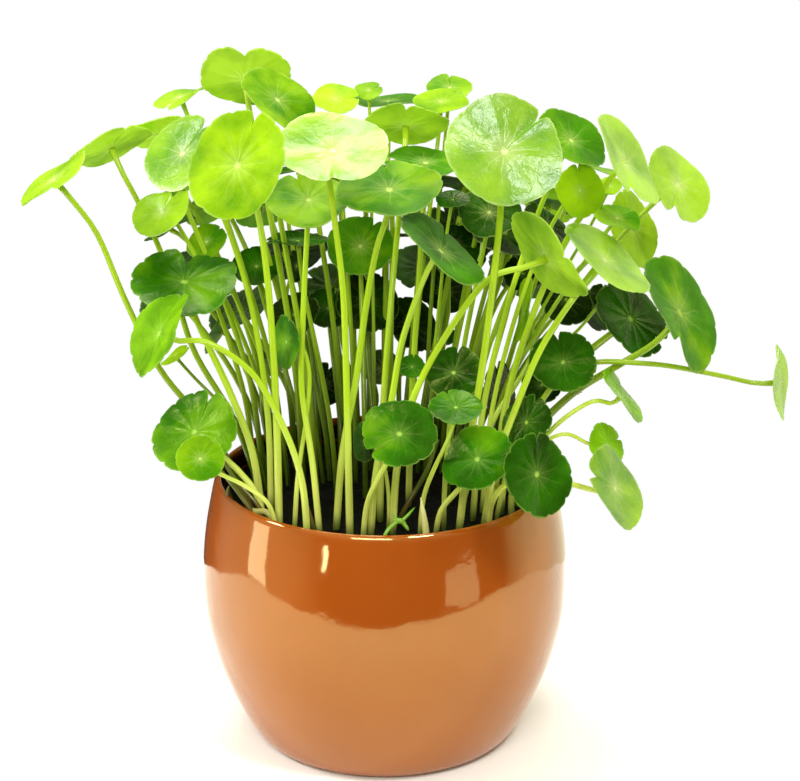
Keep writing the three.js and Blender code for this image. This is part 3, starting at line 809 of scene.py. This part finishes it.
def blade_material(name, greens, pale, vein_show, glow, roughness, index, sheen, pucker):
    """A leaf blade: a smooth waxy skin over thin green flesh that lets light through.
    Pale veins fork from the pale hub spot, and the thin margin is lighter."""
    material, tree = empty_material(name)
    veins, share, clouds = vein_pattern(tree)
    place = add_node(tree, "TexCoord").outputs["Object"]
    # The tone picks the green: partly the leaf's own green, partly painted light and shade
    tone = add_node(tree, "Attribute", attribute_name="tone").outputs["Fac"]
    uneven = add_node(tree, "Math", [clouds, 0.36, -0.18], operation="MULTIPLY_ADD")
    own = add_node(tree, "VectorMath", [place, tone], operation="ADD")
    broad = add_node(tree, "TexNoise", {"Vector": own, "Scale": 48, "Detail": 1})
    broadly = add_node(tree, "Math", [broad, 0.9, uneven], operation="MULTIPLY_ADD")
    shifted = add_node(tree, "Math", [broadly, 0.51], operation="SUBTRACT")
    patchy = add_node(tree, "Math", [shifted, tone], operation="ADD")
    green = add_node(tree, "ValToRGB", [patchy])
    green.color_ramp.elements.new(0.5)
    for stop, code in zip(green.color_ramp.elements, greens):
        stop.color = colour(code)
    shown = add_node(tree, "Math", [veins, vein_show], operation="MULTIPLY")
    veined = add_node(tree, "Mix", {0: shown, 6: green, 7: colour(pale)}, data_type="RGBA")
    near_hub = add_node(
        tree, "MapRange", {"Value": share, "From Min": 0.1, "From Max": 0.035, "To Max": 0.9})
    at_margin = add_node(
        tree, "MapRange", {"Value": share, "From Min": 0.96, "From Max": 1, "To Max": 0.3})
    # Pale round the hub: partly the leaf's pale middle, partly painted sheen
    pale_hub_and_sheen = add_node(
        tree, "MapRange", {"Value": share, "From Min": 0.4, "From Max": 0.05, "To Max": vein_show})
    middle = add_node(tree, "Math", [near_hub, pale_hub_and_sheen], operation="MAXIMUM")
    palest = add_node(tree, "Math", [middle, at_margin], operation="MAXIMUM")
    final = add_node(tree, "Mix", {0: palest, 6: veined, 7: colour(pale)}, data_type="RGBA")
    sunken = add_node(
        tree, "Bump", {"Height": veins, "Strength": 0.22, "Distance": 0.25 * MM}, invert=True)
    puckers = add_node(tree, "TexNoise", {"Vector": place, "Scale": 340, "Detail": 3, "Distortion": 0.6})
    puckered = add_node(
        tree, "Bump", {"Height": puckers, "Strength": pucker, "Distance": 0.9 * MM, "Normal": sunken})
    skin = add_node(
        tree, "BsdfPrincipled",
        {"Base Color": final, "Roughness": roughness, "IOR": index, "Specular Tint": colour(sheen),
         "Normal": puckered})
    through = add_node(tree, "BsdfTranslucent", {"Color": final, "Normal": puckered})
    leaf = add_node(tree, "MixShader", [glow, skin, through])
    add_node(tree, "OutputMaterial", {"Surface": leaf})
    return material


# A stalk keeps its lowest colour up to one height over the soil, and is darker up to another, partly a wet
# soil stain and partly painted shade
STALK_BASE = 10 * MM
STAIN_AND_SHADE_FOOT = 9 * MM


def stalk_material(name, low, high, streak, pale_height):
    """A stalk: smooth and juicy, with faint lengthwise streaks, another colour up to a height
    in mm over the soil, and darker where it leaves the soil, partly a wet soil stain and partly painted
    shade."""
    material, tree = empty_material(name)
    place = add_node(tree, "TexCoord").outputs["Object"]
    split = add_node(tree, "SeparateXYZ", [place])
    up = add_node(
        tree, "MapRange",
        {"Value": split.outputs["Z"], "From Min": SOIL_TOP + STALK_BASE,
         "From Max": SOIL_TOP + pale_height * MM})
    clean = add_node(tree, "Mix", {0: up, 6: colour(low), 7: colour(high)}, data_type="RGBA")
    # Darker foot: partly a wet soil stain, partly painted shade
    wet = add_node(
        tree, "MapRange",
        {"Value": split.outputs["Z"], "From Min": SOIL_TOP + STAIN_AND_SHADE_FOOT, "From Max": SOIL_TOP,
         "To Max": 0.92},
        interpolation_type="SMOOTHSTEP")
    body = add_node(tree, "Mix", {0: wet, 6: clean, 7: colour("#26300A")}, data_type="RGBA")
    mapped = add_node(tree, "UVMap", uv_map="surface")
    around = add_node(tree, "SeparateXYZ", [mapped])
    turn = add_node(tree, "Math", [around.outputs["X"], TAU], operation="MULTIPLY")
    cosine = add_node(tree, "Math", [turn], operation="COSINE")
    sine = add_node(tree, "Math", [turn], operation="SINE")
    along = add_node(tree, "CombineXYZ", {"X": cosine, "Y": sine, "Z": around.outputs["Y"]})
    own = add_node(tree, "Attribute", attribute_name="tone").outputs["Fac"]
    shifted = add_node(tree, "VectorMath", [along, own], operation="ADD")
    grain = add_node(tree, "TexNoise", {"Vector": shifted, "Scale": 2.6, "Detail": 4})
    shade = add_node(
        tree, "MapRange", {"Value": grain, "From Min": 0.35, "From Max": 0.75, "To Max": 0.5})
    streaked = add_node(tree, "Mix", {0: shade, 6: body, 7: colour(streak)}, data_type="RGBA")
    skin = add_node(tree, "BsdfPrincipled", {"Base Color": streaked, "Roughness": 0.2, "IOR": 1.5})
    through = add_node(tree, "BsdfTranslucent", {"Color": streaked})
    flesh = add_node(tree, "MixShader", [0.3, skin, through])
    add_node(tree, "OutputMaterial", {"Surface": flesh})
    return material


# Painted shade darkens the pot's inner wall: within a radius, above a height, and fading
# out between two others
INNER_SHADE_WITHIN = 68.9 * MM
INNER_SHADE_ABOVE = 80 * MM
INNER_SHADE_FULL = 115 * MM
INNER_SHADE_END = 118 * MM


def glaze_material():
    """Glazed stoneware, dipped and fired: glassy and copper-brown, in faint waves and orange peel.
    Inside, under the lip, its wall is painted dark as shade."""
    material, tree = empty_material("copper_brown_glaze")
    place = add_node(tree, "TexCoord").outputs["Object"]
    clouds = add_node(tree, "TexNoise", {"Vector": place, "Scale": 30, "Detail": 5})
    body = add_node(
        tree, "Mix", {0: clouds, 6: colour("#903F0A"), 7: colour("#A04D13")}, data_type="RGBA")
    peel = add_node(tree, "TexNoise", {"Vector": place, "Scale": 240, "Detail": 2})
    fine = add_node(tree, "Bump", {"Height": peel, "Strength": 0.1, "Distance": 0.4 * MM})
    waves = add_node(tree, "TexNoise", {"Vector": place, "Scale": 50, "Detail": 1})
    bump = add_node(tree, "Bump", {"Height": waves, "Strength": 1, "Distance": 0.35 * MM, "Normal": fine})
    split = add_node(tree, "SeparateXYZ", [place])
    flat = add_node(tree, "VectorMath", [place, (1, 1, 0)], operation="MULTIPLY")
    reach = add_node(tree, "VectorMath", [flat], operation="LENGTH")
    inside = add_node(tree, "Math", [reach, INNER_SHADE_WITHIN], operation="LESS_THAN")
    ragged = add_node(tree, "Math", [clouds, 6 * MM, split.outputs["Z"]], operation="MULTIPLY_ADD")
    low = add_node(
        tree, "MapRange",
        {"Value": ragged, "From Min": INNER_SHADE_END, "From Max": INNER_SHADE_FULL, "To Max": 0.93})
    high = add_node(tree, "Math", [split.outputs["Z"], INNER_SHADE_ABOVE], operation="GREATER_THAN")
    wall = add_node(tree, "Math", [high, inside], operation="MULTIPLY")
    painted_inner_shade = add_node(tree, "Math", [low, wall], operation="MULTIPLY")
    # Painted shade: the inner wall under the lip is mixed towards near black
    glazed = add_node(tree, "Mix", {0: painted_inner_shade, 6: body, 7: colour("#0D0704")}, data_type="RGBA")
    skin = add_node(
        tree, "BsdfPrincipled",
        {"Base Color": glazed, "Roughness": 0.07, "IOR": 1.92, "Specular Tint": colour("#FFF2A8"),
         "Normal": bump})
    add_node(tree, "OutputMaterial", {"Surface": skin})
    return material


def clay_material():
    """Bare fired clay under the foot ring: dry, pale and grainy."""
    material, tree = empty_material("bare_fired_clay")
    place = add_node(tree, "TexCoord").outputs["Object"]
    grit = add_node(tree, "TexNoise", {"Vector": place, "Scale": 900, "Detail": 4})
    body = add_node(tree, "Mix", {0: grit, 6: colour("#A77B58"), 7: colour("#CDA27C")}, data_type="RGBA")
    bump = add_node(tree, "Bump", {"Height": grit, "Strength": 0.3, "Distance": 0.2 * MM})
    skin = add_node(tree, "BsdfPrincipled", {"Base Color": body, "Roughness": 0.85, "Normal": bump})
    add_node(tree, "OutputMaterial", {"Surface": skin})
    return material


def soil_material():
    """Peaty potting soil, soaked: black crumbs with a wet shine."""
    material, tree = empty_material("soaked_peat")
    place = add_node(tree, "TexCoord").outputs["Object"]
    crumbs = add_node(tree, "TexNoise", {"Vector": place, "Scale": 420, "Detail": 6, "Roughness": 0.65})
    body = add_node(
        tree, "Mix", {0: crumbs, 6: colour("#020201"), 7: colour("#0E0A06")}, data_type="RGBA")
    bump = add_node(tree, "Bump", {"Height": crumbs, "Strength": 0.8, "Distance": 1.2 * MM})
    skin = add_node(
        tree, "BsdfPrincipled", {"Base Color": body, "Roughness": 0.6, "IOR": 1.2, "Normal": bump})
    add_node(tree, "OutputMaterial", {"Surface": skin})
    return material


# Pot and soil

# The pot's outline as radius and height in mm, from the hollow under its foot
# over the outside and the lip, down the inside to its floor
POT_OUTLINE = [
    (44, 1.6), (45.2, 1.2), (45.8, 0.3), (46.4, 0), (50.6, 0), (51.5, 0.4),
    (54, 1.8), (57.5, 6), (62.5, 15), (67, 25), (70.8, 35), (73.6, 45), (75.6, 55), (76.4, 65),
    (76.5, 75), (76, 85), (74.8, 95), (73, 105), (71.8, 111), (71, 114), (70.2, 115.5), (69.3, 116),
    (68.5, 115.6), (68.1, 114.4), (68.2, 112), (68.9, 106.4), (70.6, 98), (72.2, 84), (72.3, 68),
    (70.8, 48), (66, 28), (58, 12), (52, 7.4), (47, 6),
]
POT_SIDES = 160

# The foot is bare clay up to one height, and within one radius up to another
GLAZE_FROM = 0.3 * MM
FOOT_HOLLOW = 46.2 * MM
FOOT_HOLLOW_TOP = 2 * MM

# The soil's outline in the same terms, the rings of its top, how that top settles and how
# far it may rise and fall, and its lumps and crumbs, as scale per metre and height
SOIL_OUTLINE = [
    (46.4, 6.5), (51.6, 7.9), (57.5, 12.4), (65.5, 28.3), (70.3, 48), (71.8, 68), (71.7, 84),
    (70.1, 98), (68.4, 105.4),
]
SOIL_SIDES = 128
SOIL_RINGS = 30
SOIL_RING_STEP = 2.2 * MM
SOIL_TOP_FROM = 105 * MM
SOIL_RIM = 2 * MM
SOIL_SINK = 0.6 * MM
SOIL_DEEPEST = -1.5 * MM
SOIL_HIGHEST = 1.4 * MM
LUMPS = (90, 1.6 * MM)
CRUMBS = (420, 1.1 * MM)


def turned(name, outline, sides):
    """A closed turned form: a disc whose rim is drawn up through the outline."""
    select_none()
    radius, height = outline[0]
    bpy.ops.mesh.primitive_circle_add(
        vertices=sides, radius=radius * MM, fill_type="NGON", location=(0, 0, height * MM))
    piece = bpy.context.object
    piece.name = name
    bpy.ops.object.transform_apply(location=True, rotation=False, scale=False)
    bpy.ops.object.mode_set(mode="EDIT")
    bpy.ops.mesh.select_mode(type="EDGE")
    bpy.ops.mesh.select_all(action="SELECT")
    bpy.ops.mesh.region_to_loop()
    for next_radius, next_height in outline[1:]:
        bpy.ops.mesh.extrude_edges_move(
            TRANSFORM_OT_translate={"value": (0, 0, (next_height - height) * MM)})
        grow = next_radius / radius
        bpy.ops.transform.resize(value=(grow, grow, 1), center_override=(0, 0, 0))
        radius, height = next_radius, next_height
    bpy.ops.mesh.edge_face_add()
    bpy.ops.mesh.select_all(action="SELECT")
    bpy.ops.mesh.normals_make_consistent(inside=False)
    bpy.ops.object.mode_set(mode="OBJECT")
    for face in piece.data.polygons:
        face.use_smooth = True
    return piece


def throw_pot():
    """The pot: turned, and glazed all over but for its foot."""
    pot = turned("glazed_pot", smooth_curve(POT_OUTLINE, 3), POT_SIDES)
    pot.data.materials.append(glaze_material())
    pot.data.materials.append(clay_material())
    for face in pot.data.polygons:
        middle = face.center
        hollow = middle.z < FOOT_HOLLOW_TOP and middle.xy.length < FOOT_HOLLOW
        face.material_index = int(hollow or middle.z < GLAZE_FROM)
    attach(pot, BODY)
    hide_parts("pot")


def fill_soil():
    """The soil: a plug that fills the pot, with a lumpy top."""
    plug = turned("wet_soil", SOIL_OUTLINE, SOIL_SIDES)
    bpy.ops.object.mode_set(mode="EDIT")
    pick(plug, lambda co: co.z > SOIL_TOP_FROM, "FACE")
    for _ in range(SOIL_RINGS):
        bpy.ops.mesh.inset(thickness=SOIL_RING_STEP)
    bpy.ops.mesh.poke()
    bpy.ops.object.mode_set(mode="OBJECT")
    for vertex in plug.data.vertices:
        if vertex.co.z < SOIL_TOP_FROM:
            continue
        inside = min(1, (SOIL_OUTLINE[-1][0] * MM - vertex.co.xy.length) / SOIL_RIM)
        lumps = noise.fractal(vertex.co * LUMPS[0], 0.9, 2.2, 5) * LUMPS[1]
        crumbs = abs(noise.noise(vertex.co * CRUMBS[0])) * CRUMBS[1]
        rough = max(SOIL_DEEPEST, min(SOIL_HIGHEST, lumps + crumbs))
        vertex.co.z = SOIL_TOP - SOIL_SINK + inside * rough
    plug.data.materials.append(soil_material())
    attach(plug, BODY)
    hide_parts("soil")


# Studio

# The table top: its middle, and how far it reaches from there
TABLE_PLACE = (0.01, -0.06, 0)
TABLE_REACH = (0.4, 0.25, 1)

# Soft lights: name, place, what it points at, width and height, watts
LIGHTS = [
    ("high_back_window", (-0.06, 0.43, 1.1), (0, 0, 0.2), (0.6, 0.45), 9.5),
    ("high_left_window", (-0.9, -0.12, 0.78), (-0.05, 0, 0.22), (0.28, 0.28), 6.5),
    ("high_right_window", (0.45, -0.77, 1.25), (0.05, 0, 0.2), (0.24, 0.24), 8),
    ("front_window", (-0.15, -1.0, 0.8), (0, 0, 0.15), (0.5, 0.3), 6),
    ("left_window", (-1.0, -0.11, 0.03), (0, 0, 0.1), (0.26, 0.36), 1.1),
    ("left_gap", (-0.6, -0.8, 0.1), (0, 0, 0.1), (0.05, 0.1), 0.2),
    ("right_wall", (0.82, -0.76, -0.08), (0, 0, 0.08), (0.4, 0.22), 0.4),
]


def soft_box(name, place, aim, size, power):
    """A rectangular soft light that points at a place."""
    light = bpy.data.lights.new(name, "AREA")
    light.shape = "RECTANGLE"
    light.size, light.size_y = size
    light.energy = power
    lamp = bpy.data.objects.new(name, light)
    lamp.location = place
    lamp.rotation_euler = (Vector(aim) - Vector(place)).to_track_quat("-Z", "Y").to_euler()
    bpy.context.collection.objects.link(lamp)


def light_world():
    """Soft daylight: bright overhead and behind on the right, a low pale wall on the
    left, dim elsewhere, and white to the camera. Matt surfaces get a little more of it."""
    world = bpy.data.worlds.new("studio")
    bpy.context.scene.world = world
    world.use_nodes = True
    tree = world.node_tree
    tree.nodes.clear()
    way = add_node(tree, "TexCoord").outputs["Generated"]
    split = add_node(tree, "SeparateXYZ", [way])
    above = add_node(
        tree, "MapRange",
        {"Value": split.outputs["Z"], "From Min": 0.1, "From Max": 0.75, "To Min": 0.07, "To Max": 0.7},
        interpolation_type="SMOOTHSTEP")
    toward = add_node(tree, "VectorMath", [way, (0.7, 0.7, 0)], operation="DOT_PRODUCT")
    behind = add_node(
        tree, "MapRange", {"Value": toward, "From Min": 0.5, "From Max": 0.85, "To Max": 1.3},
        interpolation_type="SMOOTHSTEP")
    wall = add_node(
        tree, "MapRange",
        {"Value": split.outputs["X"], "From Min": -0.55, "From Max": -0.95, "To Max": 0.7},
        interpolation_type="SMOOTHSTEP")
    low = add_node(
        tree, "MapRange",
        {"Value": split.outputs["Z"], "From Min": 0.6, "From Max": 0.35}, interpolation_type="SMOOTHSTEP")
    low_wall = add_node(tree, "Math", [wall, low], operation="MULTIPLY")
    daylight = add_node(tree, "Math", [above, behind], operation="MAXIMUM")
    around = add_node(tree, "Math", [daylight, low_wall], operation="MAXIMUM")
    ray = add_node(tree, "LightPath")
    filled = add_node(
        tree, "Math", [ray.outputs["Is Diffuse Ray"], 0.2, around], operation="MULTIPLY_ADD")
    strength = add_node(
        tree, "Mix", {0: ray.outputs["Is Camera Ray"], 2: filled, 3: 1.0}, data_type="FLOAT")
    tint = add_node(
        tree, "Mix",
        {0: ray.outputs["Is Camera Ray"], 6: colour("#FFFEE0"), 7: colour("#FFFFFF")}, data_type="RGBA")
    sky = add_node(tree, "Background", {"Color": tint, "Strength": strength})
    add_node(tree, "OutputWorld", {"Surface": sky})


def studio():
    """A pale table, soft lights, daylight and the camera."""
    select_none()
    bpy.ops.mesh.primitive_circle_add(vertices=96, radius=1, fill_type="NGON")
    table = bpy.context.object
    table.name = "pale_table"
    bpy.ops.object.mode_set(mode="EDIT")
    bpy.ops.mesh.select_all(action="SELECT")
    bpy.ops.transform.resize(value=TABLE_REACH, center_override=(0, 0, 0))
    bpy.ops.transform.translate(value=TABLE_PLACE)
    bpy.ops.object.mode_set(mode="OBJECT")
    material, tree = empty_material("pale_table")
    paint = add_node(tree, "BsdfPrincipled", {"Base Color": colour("#FAFAF8"), "Roughness": 0.6})
    add_node(tree, "OutputMaterial", {"Surface": paint})
    table.data.materials.append(material)
    for row in LIGHTS:
        soft_box(*row)
    light_world()
    bpy.context.scene.view_settings.view_transform = "Standard"
    lens = bpy.data.cameras.new("camera")
    lens.lens = CAMERA_LENS
    lens.sensor_width = SENSOR_WIDTH
    camera = bpy.data.objects.new("camera", lens)
    camera.location = CAMERA_PLACE
    camera.rotation_euler = (Vector(CAMERA_AIM) - Vector(CAMERA_PLACE)).to_track_quat("-Z", "Y").to_euler()
    bpy.context.collection.objects.link(camera)
    bpy.context.scene.camera = camera


# Putting it together

FRESH_STALK = stalk_material("fresh_stalk", "#FFFF8C", "#CCE832", "#98C414", 60)
# The shaded stalk's dark colour low down is painted shade; higher up it is the stalk's own green
SHADED_STALK = stalk_material("shaded_stalk", "#46561A", "#C0E030", "#709410", 72)
YOUNG_UNDERSIDE = blade_material(
    "young_leaf_underside", ["#2C6A0A", "#74B012", "#D2F04A"], "#EDF7B4",
    0.26, 0.45, 0.5, 1.3, "#FFFFC0", 0.2)
SKINS = {
    "shiny": (
        blade_material("shiny_young_leaf", ["#1A5402", "#5A9E04", "#B4DC1E"], "#F0F6B0",
                       0.36, 0.4, 0.26, 1.6, "#FFFFFF", 0.26),
        YOUNG_UNDERSIDE),
    "bright_leaf": (
        blade_material("young_waxy_leaf", ["#1C5602", "#4E9602", "#B8DE14"], "#E4F28C",
                       0.26, 0.42, 0.36, 1.2, "#FFFF60", 0.25),
        YOUNG_UNDERSIDE),
    # Darker greens: partly older leaves, partly painted shade for leaves inside the clump
    "deep_leaf": (
        blade_material("shaded_waxy_leaf", ["#062402", "#2E7402", "#92CC12"], "#B4DC60",
                       0.16, 0.3, 0.26, 1.33, "#FFFF90", 0.3),
        blade_material("shaded_leaf_underside", ["#0A2C02", "#347406", "#80BE1C"], "#CFE486",
                       0.26, 0.35, 0.5, 1.33, "#FFFFB0", 0.2)),
}

form = model_leaf_form()
finish_form(form)
tone_of = {f"leaf_{number:02d}": tone for tone, numbers in TONES.items() for number in numbers}
leaves = [(read_leaf(node), tone_of[node]) for node in LEAF_NODES]
taken = np.concatenate([
    spots for leaf, _ in leaves
    for spots in (blade_spots(leaf), smooth_line([*leaf["line"], leaf["hub"]], STALK_SPOTS))])
planned = [(f"more_leaf_{i + 1:02d}", *row) for i, row in enumerate(MORE_LEAVES)]
planned += [
    (f"back_leaf_{i + 1:02d}", row[0], [at * BACK_FOOT_SHARE for at in row[0][:2]], *row[1:])
    for i, row in enumerate(BACK_LEAVES)]
for row in planned:
    leaf = planned_leaf(*row)
    settle(leaf, taken)
    taken = np.concatenate([taken, blade_spots(leaf), leaf["line"]])
    leaves.append((leaf, row[-1]))
for leaf, tone in leaves:
    grow_leaf(form, leaf, tone)
bpy.data.objects.remove(form)
lay_small_stems()
throw_pot()
fill_soil()
studio()
